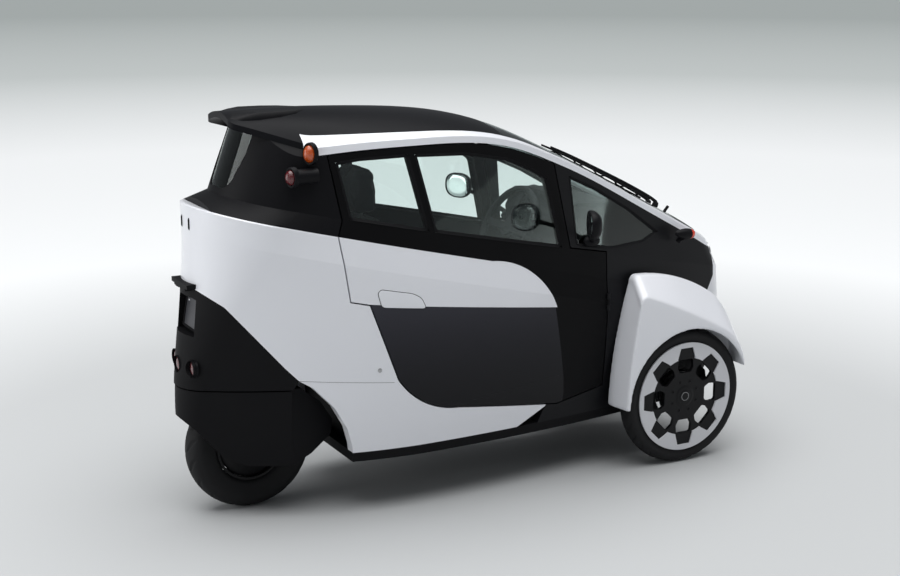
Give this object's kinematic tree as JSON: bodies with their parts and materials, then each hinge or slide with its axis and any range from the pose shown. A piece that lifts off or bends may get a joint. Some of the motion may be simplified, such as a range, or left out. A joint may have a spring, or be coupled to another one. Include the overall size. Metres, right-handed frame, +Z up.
{
  "type": "three wheeled car",
  "caption": "Narrow enclosed three wheeler for two people in line, with two front wheels, a steered rear wheel, two side doors and a tall cabin.",
  "frame": {"origin": "on the ground under the middle of the bounding box", "axes": "+X forward, +Y to the left, +Z up"},
  "size_m": [2.3364, 1.146, 1.4651],
  "materials": {
    "white_paint": "pearl white gloss",
    "dark_paint": "satin black",
    "dark_panel": "gloss black",
    "dark_plastic": "matt black",
    "glazing": "tinted clear",
    "tyre_rubber": "matt",
    "wheel_dark": "satin black",
    "running_gear": "black",
    "bare_metal": "brushed",
    "seat_cloth": "dark grey cloth",
    "battery_case": "grey",
    "amber_lens": "clear amber",
    "red_lens": "clear red",
    "clear_lens": "clear",
    "plate_grey": "satin grey"
  },
  "bodies": {
    "chassis": {"rear_body": "white_paint", "rockers": "white_paint", "bumper": "dark_plastic", "rear_quarters": "dark_paint", "roof": "dark_paint", "rails": "white_paint", "windscreen": "glazing", "hood": "dark_paint", "nose": "white_paint", "nose_lower": "dark_plastic", "front_sides": "dark_paint", "fixed_glass": "glazing", "floor": "dark_plastic", "rear_arch": "running_gear", "battery": "battery_case", "fenders": "white_paint", "subframe": "running_gear", "arms": "running_gear", "uprights": "running_gear", "dashboard": "dark_plastic", "front_seat": "seat_cloth", "rear_seat": "seat_cloth", "headlamps": "clear_lens", "front_indicators": "dark_plastic", "rear_indicators": "amber_lens", "red_lamps": "red_lens", "number_plate": "plate_grey", "wipers": "dark_plastic"},
    "door_right": {"door_right": "dark_paint", "stripe_right": "white_paint", "panel_right": "dark_panel", "window_right": "glazing", "mirror_right": "dark_plastic"},
    "door_left": {"door_left": "dark_paint", "stripe_left": "white_paint", "panel_left": "dark_panel", "window_left": "glazing", "mirror_left": "dark_plastic"},
    "front_wheel_right": {"tyre_right": "tyre_rubber", "wheel_right": "wheel_dark", "disc_right": "white_paint"},
    "front_wheel_left": {"tyre_left": "tyre_rubber", "wheel_left": "wheel_dark", "disc_left": "white_paint"},
    "rear_steering": {"rear_fork": "running_gear", "rear_cover": "dark_plastic"},
    "rear_wheel": {"tyre_rear": "tyre_rubber", "wheel_rear": "wheel_dark"},
    "hand_wheel": {"steering_wheel": "dark_plastic"}
  },
  "joints": [
    {"name": "door_right_hinge", "type": "hinge", "parent": "chassis", "child": "door_right", "pos_m": [0.4645, -0.317, 0.684], "axis": [0, 0, 1], "range_deg": [0, 62]},
    {"name": "door_left_hinge", "type": "hinge", "parent": "chassis", "child": "door_left", "pos_m": [0.4645, 0.317, 0.684], "axis": [0, 0, -1], "range_deg": [0, 62]},
    {"name": "front_wheel_right_spin", "type": "hinge", "parent": "chassis", "child": "front_wheel_right", "pos_m": [0.796, -0.35, 0.275], "axis": [0, 1, 0], "continuous": true},
    {"name": "front_wheel_left_spin", "type": "hinge", "parent": "chassis", "child": "front_wheel_left", "pos_m": [0.796, 0.35, 0.275], "axis": [0, 1, 0], "continuous": true},
    {"name": "rear_steer", "type": "hinge", "parent": "chassis", "child": "rear_steering", "pos_m": [-0.859, 0, 0.5], "axis": [0, 0, 1], "range_deg": [-26, 26]},
    {"name": "rear_wheel_spin", "type": "hinge", "parent": "rear_steering", "child": "rear_wheel", "pos_m": [-0.904, 0, 0.235], "axis": [0, 1, 0], "continuous": true},
    {"name": "hand_wheel_turn", "type": "hinge", "parent": "chassis", "child": "hand_wheel", "pos_m": [0.196, 0, 0.95], "axis": [-0.8829, 0, 0.4695], "range_deg": [-182, 182]}
  ],
  "couplings": [
    {"joint": "hand_wheel_turn", "follows": "rear_steer", "ratio": -6.92}
  ]
}
